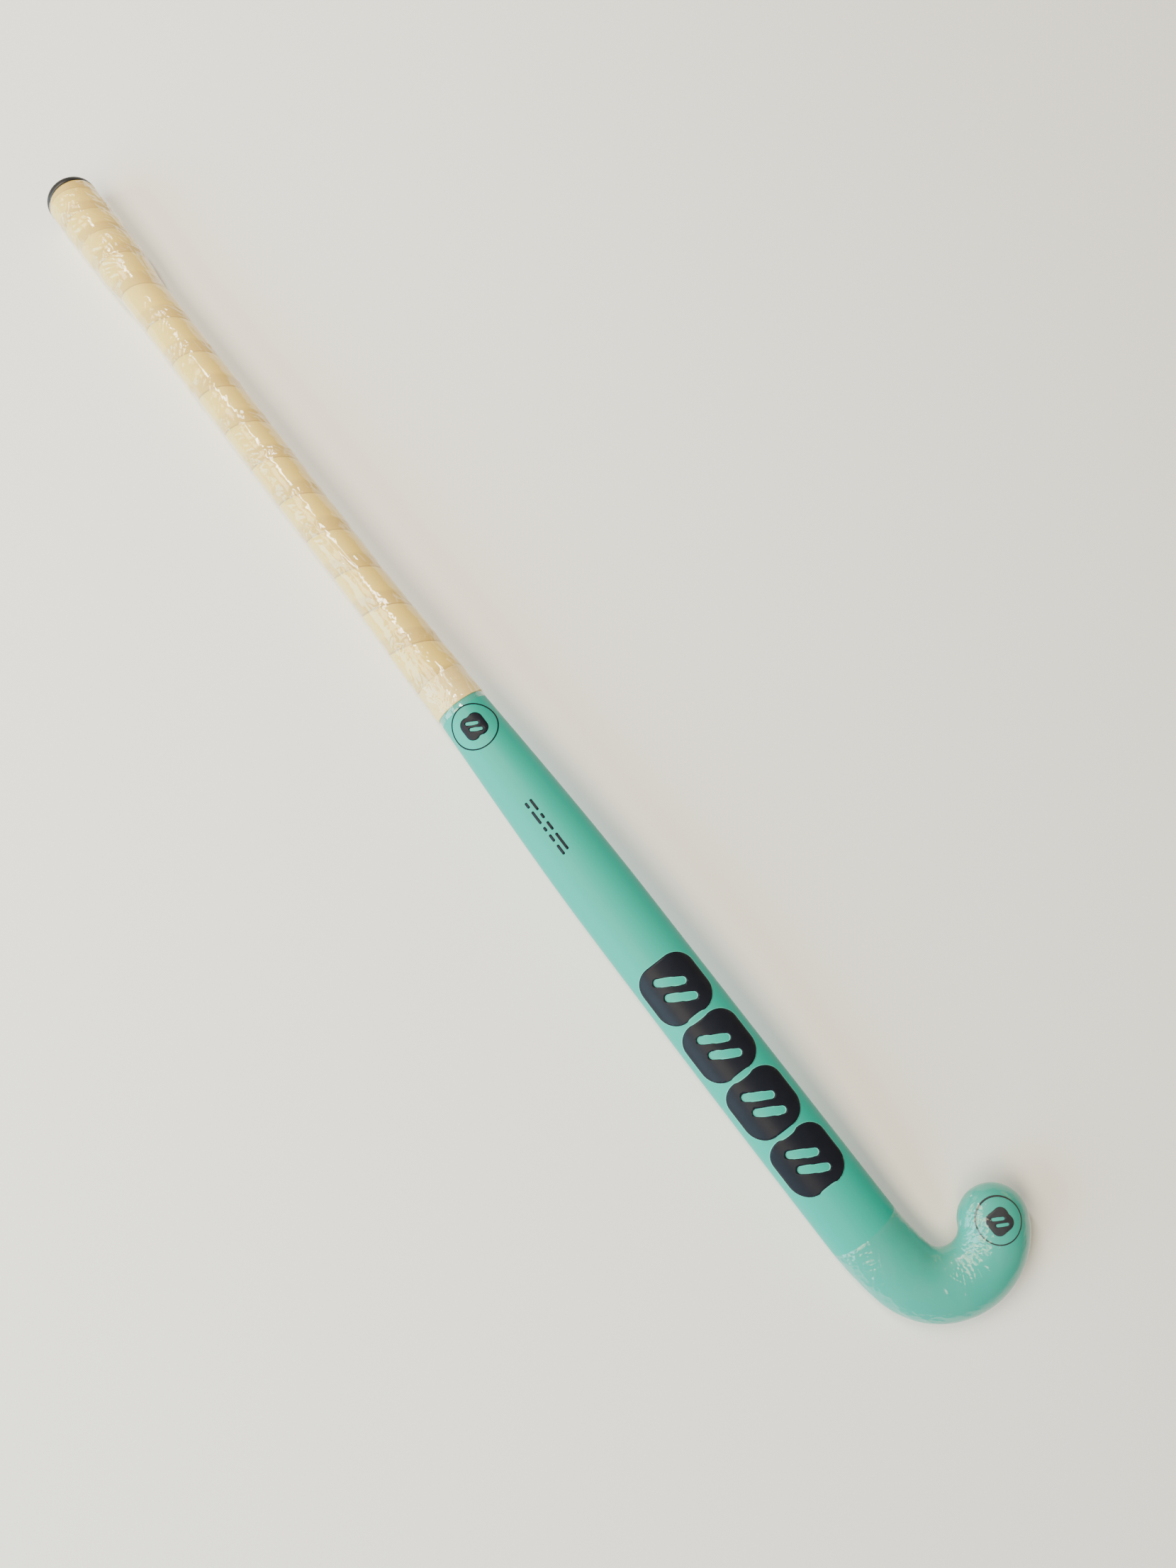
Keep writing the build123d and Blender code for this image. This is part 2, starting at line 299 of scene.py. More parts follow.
# A material, and the one method that adds nodes to it.
class Finish:
    def __init__(self, name):
        self.material = bpy.data.materials.new(name)
        self.material.use_nodes = True
        self.tree = self.material.node_tree
        self.tree.nodes.clear()

    def node(self, kind, settings=None, sockets=None, out=0):
        made = self.tree.nodes.new("ShaderNode" + kind)
        for key, value in (settings or {}).items():
            if key == "stops":
                ramp = made.color_ramp
                while len(ramp.elements) < len(value):
                    ramp.elements.new(0.5)
                for stop, (place, colour) in zip(ramp.elements, value):
                    stop.position, stop.color = place, colour
            else:
                setattr(made, key, value)
        for key, value in (sockets or {}).items():
            if isinstance(value, Wire):
                self.tree.links.new(value.socket, made.inputs[key])
            else:
                made.inputs[key].default_value = value
        return Wire(self, made.outputs[out]) if len(made.outputs) else None

    def noise(self, scale, detail=3.0, roughness=0.55, stretch=(1, 1, 1)):
        place = self.node("TexCoord", out="Object")
        place = self.node("Mapping", None, {"Vector": place, "Scale": stretch})
        return self.node("TexNoise", None, {
            "Vector": place, "Scale": scale, "Detail": detail, "Roughness": roughness})

    def mix(self, factor, a, b):
        return self.node("Mix", dict(data_type="RGBA"), {0: factor, 6: a, 7: b}, out=2)

    def bump(self, height, distance, strength=1.0):
        return self.node("Bump", None, {"Height": height, "Distance": distance, "Strength": strength})

    def finishWith(self, shader):
        self.node("OutputMaterial", None, {"Surface": shader})
        return self.material


def tone(r, g, b):
    # Display colour, 0 to 255, as a linear one.
    c = np.array([r, g, b]) / 255.0
    return (*np.where(c < 0.04045, c / 12.92, ((c + 0.055) / 1.055) ** 2.4).tolist(), 1.0)


paint = dict(
    dark=(0.005, 0.355, 0.290, 1),
    light=(0.009, 0.385, 0.320, 1),
    fleck=(0.03, 0.50, 0.40, 1),
    fleckShare=0.10,
    roughness=0.40,
    uneven=0.10,
    peel=0.00004,                    # metres, as in the other finishes
)


def paintFinish():
    # Satin mint lacquer: two close greens mixed by slow noise, a faint orange-peel bump.
    f = Finish("mintLacquer")
    slow = f.noise(9.0, 2.0)
    colour = f.mix(slow, paint["dark"], paint["light"])
    fleck = f.noise(900.0, 2.0)
    colour = f.mix(fleck * paint["fleckShare"], colour, paint["fleck"])
    rough = paint["roughness"] + (f.noise(60.0, 3.0) - 0.5) * paint["uneven"]
    peel = f.bump(f.noise(420.0, 2.0), paint["peel"], 0.5)
    return f.finishWith(f.node("BsdfPrincipled", None, {
        "Base Color": colour, "Roughness": rough, "Normal": peel, "IOR": 1.27}))


chamois = dict(
    # painted light and shade: a painted shadow line at each edge of the tape, a lighter raised part, painted
    # shade on the low part
    turn=(                           # colour along one turn of tape, from its edge to the next
        (0.0, (0.52, 0.33, 0.08, 1)), (0.02, (0.97, 0.71, 0.14, 1)), (0.60, (0.95, 0.68, 0.12, 1)),
        (0.68, (0.76, 0.52, 0.10, 1)), (0.97, (0.73, 0.49, 0.09, 1)), (1.0, (0.52, 0.33, 0.08, 1)),
    ),
    soft=(0.82, 0.57, 0.11, 1),
    softShare=0.35,
    nap=(0.97, 0.80, 0.34, 1),
    napShare=0.35,
    napHeight=0.00012,
    roughness=0.82,
)


def gripFinish():
    # Napped cream tape with a soft grain, with painted light and shade across each turn: a painted lighter
    # raised part, painted shade over the low part and a painted shadow line along each edge of the tape.
    f = Finish("creamTape")
    place = f.node("Attribute", dict(attribute_name="bandPlace"), out="Fac")
    # the ramp paints the spiral's shade: shadow lines at the tape's edges and a darker low part of each turn
    band = f.node("ValToRGB", dict(stops=chamois["turn"]), {0: place})
    soft = f.noise(55.0, 4.0)
    colour = f.mix(soft * chamois["softShare"], band, chamois["soft"])
    nap = f.noise(2600.0, 3.0, 0.65)
    colour = f.mix((nap - 0.4) * chamois["napShare"], colour, chamois["nap"])
    return f.finishWith(f.node("BsdfPrincipled", None, {
        "Base Color": colour, "Roughness": chamois["roughness"],
        "Normal": f.bump(nap, chamois["napHeight"], 0.7), "Sheen Weight": 0.25, "Sheen Roughness": 0.5}))


band = dict(
    dark=(0.88, 0.65, 0.20, 1),
    light=(0.95, 0.74, 0.28, 1),
    stretch=(9, 1, 1),               # makes the lines run round the handle
    lineHeight=0.0001,
    roughness=0.55,
)


def tapeFinish():
    # Straight closing band: a smoother, whiter cream with fine lines round the handle.
    f = Finish("closingTape")
    lines = f.noise(120.0, 3.0, 0.6, band["stretch"])
    colour = f.mix(lines, band["dark"], band["light"])
    return f.finishWith(f.node("BsdfPrincipled", None, {
        "Base Color": colour, "Roughness": band["roughness"],
        "Normal": f.bump(lines, band["lineHeight"], 0.5)}))


film = dict(
    milk=(0.9, 0.93, 0.95, 1),
    clear=(0.985, 0.985, 0.985, 1),
    roughness=0.08,
    least=0.015,                     # gloss where the film is seen straight on
    handle=(0.10, 1.4, 0.00012),     # haze, gloss and height of the crinkles
    head=(0.06, 0.8, 0.00022),
)


def filmFinish(name, haze, gloss, crinkle):
    # Clear film: see-through, a little milky, with a sharp gloss that grows at a glancing angle and is broken
    # up by crinkles of 2 to 3 mm.
    f = Finish(name)
    milk = f.node("BsdfDiffuse", None, {"Color": film["milk"]})
    clear = f.node("BsdfTransparent", None, {"Color": film["clear"]})
    cloud = f.noise(70.0, 3.0)
    body = f.node("MixShader", None, {0: cloud * haze, 1: clear, 2: milk})
    shine = f.node("BsdfGlossy", None, {
        "Color": (1, 1, 1, 1), "Roughness": film["roughness"],
        "Normal": f.bump(f.noise(380.0, 3.0, 0.6), crinkle)})
    edge = f.node("Fresnel", None, {"IOR": 1.5})
    inner = f.node("NewGeometry", out="Backfacing")      # no gloss from inside, to let light through
    share = (edge * gloss + film["least"]) * (1.0 - inner)
    return f.finishWith(f.node("MixShader", None, {0: share, 1: body, 2: shine}))


def capFinish():
    # Black moulded rubber with a fine grain.
    f = Finish("capRubber")
    grain = f.noise(1400.0, 3.0)
    colour = f.mix(f.noise(40.0, 2.0), (0.012, 0.012, 0.013, 1), (0.022, 0.022, 0.024, 1))
    return f.finishWith(f.node("BsdfPrincipled", None, {
        "Base Color": colour, "Roughness": 0.5, "Normal": f.bump(grain, 0.00005, 0.6)}))


def inkFinish(name, light, dark, rough=0.38):
    # Printed transfer under lacquer: one ink with faint unevenness.
    f = Finish(name)
    colour = f.mix(f.noise(160.0, 3.0), dark, light)
    return f.finishWith(f.node("BsdfPrincipled", None, {
        "Base Color": colour, "Roughness": rough, "IOR": 1.22,
        "Normal": f.bump(f.noise(420.0, 2.0), 0.00003, 0.5)}))


def coreFinish(name, light, dark, scale, rough):
    # Inner pieces: cellular foam or bare laminate, two tones mixed by a cell pattern.
    f = Finish(name)
    place = f.node("TexCoord", out="Object")
    cells = f.node("TexVoronoi", None, {"Vector": place, "Scale": scale})
    colour = f.mix(cells, dark, light)
    return f.finishWith(f.node("BsdfPrincipled", None, {
        "Base Color": colour, "Roughness": rough, "Normal": f.bump(cells, 0.0002, 0.6)}))


mint, cream, closing = paintFinish(), gripFinish(), tapeFinish()
handleClear = filmFinish("handleFilm", *film["handle"])
headClear = filmFinish("headFilm", *film["head"])
black = capFinish()
ink = inkFinish("darkInk", tone(30, 33, 43), tone(23, 26, 35))
paleInk = inkFinish("paleBorder", (0.06, 0.50, 0.42, 1), (0.05, 0.46, 0.38, 1))
print("finishes made")

# Painted moulding: outside, inside, both round toes and the rim at the butt.
loop = loopSteps(9, 7, 76)
halfLoop = np.concatenate([loop[loop < 2.5], [2.5]])
halfTurns = np.linspace(0, np.pi, 49)


def mouldingGrids(grow, step, hookStep):
    u = np.concatenate([
        np.arange(stick["tubeStart"], hookStart, step), np.arange(hookStart, toeAt, hookStep), [toeAt]])
    return sweep(u[:, None], loop[None, :], grow), toeDome(halfTurns[:, None], halfLoop[None, :], grow)


def makeMoulding():
    outer, outerToe = mouldingGrids(0.0, 4.0, 1.6)
    inner, innerToe = mouldingGrids(-stick["wall"], 9.0, 3.0)
    rim = np.stack([outer[0], inner[0]])
    blocks = [outer, outerToe, inner, innerToe, rim]
    starts = np.cumsum([0] + [b.shape[0] * b.shape[1] for b in blocks])
    faces = [
        gridFaces(outer.shape[:2], start=starts[0]),
        gridFaces(outerToe.shape[:2], wrapLoop=False, start=starts[1]),
        gridFaces(inner.shape[:2], flip=True, start=starts[2]),
        gridFaces(innerToe.shape[:2], wrapLoop=False, flip=True, start=starts[3]),
        gridFaces(rim.shape[:2], flip=True, start=starts[4]),
    ]
    makePiece("paintedMoulding", blocks, faces, mint, ["laminate_shell"])


makeMoulding()

handleLoop = loopSteps(5, 12, 94)


def sleeveAt(u):
    return np.interp(u, wrap["sleeveReach"], wrap["sleeveThick"], right=0.0)


def tapeAt(u):
    t = np.clip((u - wrap["gripEnd"] + wrap["tailLength"]) / wrap["tailLength"], 0, 1)
    return wrap["tape"] + (wrap["tail"] - wrap["tape"]) * t


spiral = dict(
    buttPitch=18.8,                  # closer turns at the butt, full pitch from easeTo on
    pitch=30.5,
    easeFrom=50.0,
    easeTo=100.0,
    raised=0.12,                     # height of the raised part of a turn, and of the rest
    low=-0.20,
    topPart=0.66,
    soft=0.05,
    perTurn=132,
    foot=0.05,
)
fineU = np.linspace(-60.0, 560.0, 3000)
ease = np.clip((fineU - spiral["easeFrom"]) / (spiral["easeTo"] - spiral["easeFrom"]), 0, 1)
pitchAt = spiral["buttPitch"] + (spiral["pitch"] - spiral["buttPitch"]) * ease * ease * (3 - 2 * ease)
turnsAt = np.concatenate([[0], np.cumsum(np.diff(fineU) / pitchAt[1:])])


def bandHeight(f):
    # Height over one turn of tape: a rise at its edge, a plateau that falls slowly, then a soft drop.
    drop = np.clip((f - spiral["topPart"]) / spiral["soft"], 0, 1)
    plateau = spiral["raised"] * (1 - 0.35 * f)
    return plateau + (spiral["low"] - plateau) * drop * drop * (3 - 2 * drop)


def makeGrip():
    # A real spiral: a strip whose one edge follows the turns, each strip from one edge to the next, with a
    # top and a bottom. A place on it is the angle gone round and the share of the strip's width.
    end = wrap["gripEnd"] - wrap["finishWidth"]
    first, last = np.interp([stick["tubeStart"], end], fineU, turnsAt)
    gone = np.arange(np.floor(first) - 1, np.ceil(last) + 1, 1 / spiral["perTurn"])
    across = np.array([0, 0.012, 0.03, 0.08, 0.16, 0.25, 0.34, 0.43, 0.52, 0.60, 0.64, 0.67, 0.70, 0.74, 0.80,
                       0.87, 0.94, 1.0])
    under = np.linspace(1.0, 0.0, 5)
    share = np.concatenate([across, under])
    turn = gone[:, None] + share[None, :]
    u = np.clip(np.interp(turn, turnsAt, fineU), stick["tubeStart"], end)
    v = aroundPlace(gone)[:, None] + 0 * u
    base = sleeveAt(u)
    wobble = 0.10 * (smoothNoise(u / 14.0, v * 3.0, 0 * u, 4) - 0.5)
    top = base + tapeAt(u) + bandHeight(share)[None, :] + wobble
    lift = np.where(np.arange(len(share))[None, :] < len(across), top, base)
    lift[:, 0] = base[:, 0] + tapeAt(u[:, 0]) + spiral["low"] - spiral["foot"]     # foot of the tape's edge
    points = sweep(u, v, lift)
    faces = [gridFaces(points.shape[:2], flip=True)]
    place = np.broadcast_to(np.clip(share, 0, 1), u.shape)
    makePiece("spiralGrip", [points], faces, cream, ["grip_wrap"], values={"bandPlace": place})


def aroundPlace(gone):
    # Place round the section for a share of a turn: the angle is taken about the middle of the section.
    v = np.linspace(0, 5, 2001)[:-1]
    lateral, height = section(np.full_like(v, 200.0), v, 1.6)
    angle = np.unwrap(np.arctan2(height - stick["handle"][1] / 2, lateral)) / (2 * np.pi)
    wanted = -(gone % 1.0)                         # the tape climbs towards the toe's side over the back
    low = angle[0]
    return np.interp((wanted - low) % 1.0, angle - low, v)


makeGrip()


def sleeveMesh(name, u, lift, inside, finish, stands):
    # Closed sleeve: outer surface down the handle, inner surface back up.
    innerU = np.linspace(u[-1], u[0], max(len(u) // 12, 3))
    outer = sweep(u[:, None], handleLoop[None, :], lift)
    inner = sweep(innerU[:, None], handleLoop[None, :], inside(innerU)[:, None])
    points = np.concatenate([outer, inner])
    makePiece(name, [points], [gridFaces(points.shape[:2], wrapRows=True)], finish, stands)


def straight(u, v):
    # Place in the straightened stick: down, across and up.
    lateral, height = section(u, v)
    return u + 0 * lateral, lateral, height


def makeClosingTape():
    u = np.arange(wrap["gripEnd"] - wrap["finishWidth"], wrap["gripEnd"] + 0.01, 0.5)
    a, lateral, height = straight(u[:, None], handleLoop[None, :])
    ribs = 0.06 * np.cos(2 * np.pi * (a - u[0]) / 4.3)
    ribs = ribs + 0.10 * creases(a, lateral, height, 0.1, 18.0, 3.0, 11)
    lift = tapeAt(a) + 0.02 + ribs
    lift[-1] -= 0.25
    sleeveMesh("closingBand", u, lift, lambda w: 0 * w, closing, ["finishing_tape"])


makeClosingTape()


def bandUnderFilm(a, lateral, height):
    # Height of the spiral under the film, with its edges softened over a few millimetres.
    angle = np.arctan2(height - stick["handle"][1] / 2, lateral) / (2 * np.pi)
    total = 0.0
    for shift in (-1.6, -0.8, 0.0, 0.8, 1.6):
        f = (np.interp(a + shift, fineU, turnsAt) + angle) % 1.0
        total = total + bandHeight(f) / 5
    return total, (np.interp(a, fineU, turnsAt) + angle) % 1.0


handleWrap = dict(
    start=0.5,                       # past the start of the tube
    past=4.0,                        # past the grip's end, where the edge is ragged
    short=0.5,
    step=0.7,
    rise=0.10,
    slack=0.16,
    ragged=4.5,
    down=0.05,                       # height where the film lies on the paint
    wrinkles=(                       # slant, length, width and seed; size and seed of the patches; height
        (0.9, 13.0, 3.0, 21, 15.0, 22, 0.75),
        (-0.8, 11.0, 2.7, 23, 12.0, 24, 0.60),
        (0.1, 14.0, 2.5, 25, 11.0, 30, 0.60),
    ),
    hoopHeight=0.25,
)


def makeHandleFilm():
    # Wrinkles of three directions and some hoops, densest on the low part of each turn and near both ends,
    # over slow slack.
    first, last = stick["tubeStart"] + handleWrap["start"], wrap["gripEnd"] + handleWrap["past"]
    u = np.arange(first, last, handleWrap["step"])
    a, lateral, height = straight(u[:, None], handleLoop[None, :])
    band, share = bandUnderFilm(a, lateral, height)
    inLow = np.clip((share - 0.62) / 0.1, 0, 1) * np.clip((1.02 - share) / 0.04, 0, 1)
    nearEnd = np.clip((a - 380.0) / 60.0, 0, 1) + np.clip((95.0 - a) / 40.0, 0, 1)
    busy = np.clip(0.30 + 0.70 * inLow + 0.8 * nearEnd, 0, 1.3)
    wrinkle = 0.0
    for slant, long, narrow, seed, size, patchSeed, rise in handleWrap["wrinkles"]:
        ridges = creases(a, lateral, height, slant, long, narrow, seed, 3.0)
        wrinkle = wrinkle + rise * (ridges * patches(a, lateral, height, size, patchSeed))
    hoops = creases(lateral, a, height, 0.1, 16.0, 4.5, 26, 4.0)
    hoops = hoops * patches(a, lateral, height, 20.0, 27, 0.5, 0.7)
    slack = smoothNoise(a / 9.0, lateral / 6.0, height / 6.0, 28)
    wrinkle = busy * (wrinkle + handleWrap["hoopHeight"] * hoops) + handleWrap["slack"] * slack
    ragged = handleWrap["ragged"] * smoothNoise(0 * a, lateral / 3.0, height / 3.0, 29) ** 2
    lift = sleeveAt(a) + tapeAt(a) + band + handleWrap["rise"] + wrinkle
    inside = a <= wrap["gripEnd"] - handleWrap["short"] + ragged
    lift = np.where(inside, np.where(a > wrap["gripEnd"], 0.55 * lift, lift), handleWrap["down"])
    points = sweep(a, handleLoop[None, :] + 0 * a, lift)
    faces = [gridFaces(points.shape[:2])]
    makePiece("handleFilm", [points], faces, handleClear, ["handle_wrap_film"])


makeHandleFilm()


headWrap = dict(
    reach=81.0,                      # from the stick's end
    step=0.7,
    low=0.04,
    rise=0.12,
    slack=0.16,
    bendAt=905.0,                    # middle of the inner bend, where the wrinkles gather
)


def makeHeadFilm():
    # Wrinkles of two directions over slow slack, gathered in the inner bend, along the heel, on the toe's
    # inner side and at the film's edge. The flat face keeps a third of their height.
    start = stick["length"] - headWrap["reach"]
    hookLoop = loopSteps(26, 8, 116)
    half = np.concatenate([hookLoop[hookLoop < 2.5], [2.5]])
    turns = np.linspace(0, np.pi, 111)
    u = np.concatenate([np.arange(start, toeAt, headWrap["step"]), [toeAt]])

    def lift(a, lateral, height):
        onBack = np.clip((height - 3.0) / 8.0, 0, 1)
        inHook = np.exp(-(((a - headWrap["bendAt"]) / 22.0) ** 2 + ((lateral - 6.0) / 10.0) ** 2))
        heelSide = np.exp(-(((lateral + 15.0) / 6.0) ** 2)) * np.clip((headWrap["bendAt"] - a) / 20.0, 0, 1)
        rim = np.exp(-((a - start) / 5.0) ** 2)
        toeSide = np.clip((lateral - 3.0) / 6.0, 0, 1) * np.clip((a - 915.0) / 18.0, 0, 1)
        busy = np.clip(0.12 + 1.1 * inHook + 0.9 * heelSide + 0.6 * rim + 0.9 * toeSide, 0, 1.4)
        fine = creases(a, lateral, height, -0.7, 13.0, 2.8, 41, 3.0) * 0.55
        cross = creases(lateral, a, height, 0.4, 10.0, 2.6, 42, 3.0) * 0.45
        slow = smoothNoise(a / 15.0, lateral / 10.0, height / 10.0, 43)
        edge = np.clip((a - start) / 1.2, 0, 1)
        wrinkle = headWrap["rise"] + headWrap["slack"] * slow + busy * (fine + cross)
        return headWrap["low"] + edge * wrinkle * (0.35 + 0.65 * onBack)

    a, lateral, height = straight(u[:, None], hookLoop[None, :])
    body = sweep(a, hookLoop[None, :] + 0 * a, lift(a, lateral, height))
    reach, rise = section(np.array([[toeAt]]), half[None, :])
    lateralToe, down = reach * np.cos(turns)[:, None], toeAt + reach * np.sin(turns)[:, None]
    toe = toeDome(turns[:, None], half[None, :] + 0 * down, lift(down, lateralToe, rise + 0 * down))
    faces = [
        gridFaces(body.shape[:2]),
        gridFaces(toe.shape[:2], wrapLoop=False, start=body.shape[0] * body.shape[1]),
    ]
    makePiece("headFilm", [body, toe], faces, headClear, ["head_wrap_film"])


makeHeadFilm()

cap = dict(
    thick=6.0,
    round=4.5,
    crown=1.0,
    spigot=18.0,
    clearance=0.1,
    proud=0.3,                       # past the tape
)


def makeCap():
    # Domed plate and spigot: rings of the handle's section, pulled in over the rounded edge and towards the
    # middle.
    full = float(sleeveAt(stick["tubeStart"]) + tapeAt(stick["tubeStart"]) + cap["proud"])
    turn = np.linspace(0, np.pi / 2, 9)
    s = cap["round"] * (1 - np.cos(turn))
    pulled = full - cap["round"] + np.sqrt(np.clip(cap["round"] ** 2 - (cap["round"] - s) ** 2, 0, None))
    rings = [(k, full - cap["round"], -cap["crown"] * (1 - k * k)) for k in (0.12, 0.35, 0.6, 0.85)]
    rings += [(1.0, g, d) for g, d in zip(pulled, s)] + [(1.0, full, cap["thick"])]
    inner = -stick["wall"] - cap["clearance"]
    rings += [(1.0, inner, cap["thick"]), (1.0, inner, cap["thick"] + cap["spigot"])]
    scale, grow, down = (np.array(column)[:, None] for column in zip(*rings))
    lateral, height = section(0 * down, handleLoop[None, :], grow)
    middle = stick["handle"][1] / 2
    lateral, height = lateral * scale, middle + (height - middle) * scale
    point, along, side, up = spine(0 * down + 0 * height)
    points = point + along * (down + 0 * height)[..., None]
    points = toFrame(points + side * lateral[..., None] + up * height[..., None])
    ends = toFrame(np.array([[-cap["crown"], 0, middle], [cap["thick"] + cap["spigot"], 0, middle]]))
    count, rows = points.shape[1], points.shape[0]
    faces = [
        gridFaces(points.shape[:2]),
        fanFaces(np.arange(count), rows * count, flip=True),
        fanFaces(np.arange(count) + (rows - 1) * count, rows * count + 1),
    ]
    makePiece("buttCap", [points, ends], faces, black, ["end_cap"])


makeCap()


def circleLoop(radius, count=96, centre=(0, 0)):
    t = np.arange(count) * 2 * np.pi / count
    return np.stack([np.cos(t), np.sin(t)], -1) * radius + centre


def roundBox(length, width, radius, turn=0.0, centre=(0, 0), perCorner=12):
    # Rectangle with quarter-circle corners, turned about its middle.
    t = np.linspace(0, np.pi / 2, perCorner)
    arcs = []
    for k, (sx, sy) in enumerate(((1, 1), (-1, 1), (-1, -1), (1, -1))):
        middle = np.array([sx * (length / 2 - radius), sy * (width / 2 - radius)])
        arcs.append(middle + radius * np.stack([np.cos(t + k * np.pi / 2), np.sin(t + k * np.pi / 2)], -1))
    spin = np.array([[np.cos(turn), -np.sin(turn)], [np.sin(turn), np.cos(turn)]])
    return np.concatenate(arcs) @ spin.T + centre


mark = dict(
    length=157.0,
    width=36.0,
    gap=2.5,
    count=4,
    toBottom=118.0,                  # from the mark to the stick's end
    slot=(19.0, 4.6),
    slotGap=10.5,
    slotTurn=np.radians(60),
    corner=0.32,                     # share of the width
    border=0.45,
)
badge = dict(
    shaft=29.0,
    belowGrip=18.0,
    toe=27.0,
    toeAhead=3.2,                    # past the middle of the round toe
    line=0.8,
    motif=0.52,                      # share of the ring's diameter
)
smallPrint = dict(
    belowGrip=74.0,
    rows=((8.0, 3.5, 6.0, 12.0), (4.0, 9.0, 3.0, 5.0, 7.0)),
    pitch=3.6,
    height=1.7,
    corner=0.76,
    gap=2.6,
)


def blockLoops(length, width, centre=(0, 0), spread=0.0):
    # The motif: a block with round corners and two slanting slots; spread makes the block grow and the
    # slots shrink.
    scale = width / mark["width"]
    loops = [roundBox(length + 2 * spread, width + 2 * spread, mark["corner"] * width + spread, 0, centre)]
    slotLong, slotWide = (a * scale - 2 * spread for a in mark["slot"])
    for side in (-0.5, 0.5):
        middle = np.array(centre) + [side * mark["slotGap"] * scale, 0]
        loops.append(roundBox(slotLong, slotWide, slotWide * 0.499, mark["slotTurn"], middle))
    return loops


def badgeLoops(size):
    motif = badge["motif"] * size
    return [circleLoop(size / 2), circleLoop(size / 2 - badge["line"])] + blockLoops(motif, motif)


def insideLoops(points, loops):
    # True where a point is inside an odd number of loops, by counting crossings of a ray.
    crossings = np.zeros(len(points), int)
    x, y = points[:, :1], points[:, 1:]
    for ring in loops:
        a, b = ring, np.roll(ring, -1, axis=0)
        straddles = (a[None, :, 1] > y) != (b[None, :, 1] > y)
        slope = (b[:, 0] - a[:, 0]) / np.where(b[:, 1] == a[:, 1], 1e-9, b[:, 1] - a[:, 1])
        crossings += (straddles & (x < a[None, :, 0] + slope * (y - a[None, :, 1]))).sum(axis=1)
    return crossings % 2 == 1


def flatFill(loops, spacing=1.3):
    # Triangles that fill the loops, with grid points inside so that they can follow a curved surface.
    rings = np.concatenate(loops)
    low, high = rings.min(axis=0), rings.max(axis=0)
    gx, gy = np.meshgrid(np.arange(low[0], high[0], spacing), np.arange(low[1], high[1], spacing))
    grid = np.stack([gx.ravel(), gy.ravel()], -1)
    near = np.array([np.abs(grid - p).max(axis=1) < spacing * 0.35 for p in rings]).any(axis=0)
    grid = grid[insideLoops(grid, loops) & ~near]
    edges, start = [], 0
    for ring in loops:
        index = np.arange(len(ring)) + start
        edges += np.stack([index, np.roll(index, -1)], -1).tolist()
        start += len(ring)
    flat = np.concatenate([rings, grid])
    verts, _, tris = delaunay_2d_cdt([Vector(p) for p in flat.tolist()], edges, [], 0, 1e-5)[:3]
    verts, tris = np.array([tuple(p) for p in verts]), np.array(tris)
    return verts, tris[insideLoops(verts[tris].mean(axis=1), loops)]


def makeMark(name, loops, place, finish, stands, low=-0.03, high=0.09):
    # Thin printed skin: the filled outline on the back, a lower copy of it and walls along its edges.
    flat, tris = flatFill(loops)
    area = np.cross(flat[tris[:, 1]] - flat[tris[:, 0]], flat[tris[:, 2]] - flat[tris[:, 0]])
    tris = np.where(area[:, None] < 0, tris[:, ::-1], tris)
    top, bottom = place(flat, high), place(flat, low)
    sides = np.concatenate([tris[:, [0, 1]], tris[:, [1, 2]], tris[:, [2, 0]]])
    known = {(a, b) for a, b in sides.tolist()}
    rim = np.array([(a, b) for a, b in sides.tolist() if (b, a) not in known])
    n = len(flat)
    walls = np.stack([rim[:, 1], rim[:, 0], rim[:, 0] + n, rim[:, 1] + n], -1)
    makePiece(name, [top, bottom], [tris, tris[:, ::-1] + n, walls], finish, stands, weld=1e-7)


def onShaft(middle):
    # Flat artwork laid on the back of the shaft: its x runs down the stick, its y across.
    def place(flat, lift):
        u, lateral = middle + flat[:, 0], flat[:, 1]
        width, depth, edge = sizesAt(u)
        rise = (depth + lift - edge) * np.sqrt(np.clip(1 - (lateral / (width / 2 + lift)) ** 2, 0, 1))
        point, _, side, up = spine(u)
        return toFrame(point + side * lateral[:, None] + up * (edge + rise)[:, None])
    return place


def onToe(ahead):
    # Flat artwork laid on the toe, centred past the middle of the round toe. The surface's height depends
    # on the distance to the middle line: from the toe's centre, from the straight, or from the hook's arc.
    ends = np.array([toeAt, toeAt - stick["toeStraight"]])
    (toe, bend), along, side, up = spine(ends)
    down, across, out = along[0], side[0], up[0]
    flatDown, flatAcross = spine(np.array([hookStart]))[1][0], spine(np.array([hookStart]))[2][0]
    hookMiddle = bend + across * stick["hookRadius"]

    def place(flat, lift):
        spot = toe + down * ahead + flatDown * flat[:, :1] + flatAcross * flat[:, 1:]
        past = (spot - toe) @ down
        radial = np.linalg.norm(spot - toe, axis=1)
        before = (spot - bend) @ down
        arc = np.abs(stick["hookRadius"] - np.linalg.norm(spot - hookMiddle, axis=1))
        lateral = np.select([past > 0, before > 0], [radial, np.abs((spot - toe) @ across)], arc)
        width, depth, edge = sizesAt(toeAt - stick["toeStraight"] + np.minimum(before, 0))
        rise = (depth + lift - edge) * np.sqrt(np.clip(1 - (lateral / (width / 2 + lift)) ** 2, 0, 1))
        return toFrame(spot + out * (edge + rise)[:, None])
    return place


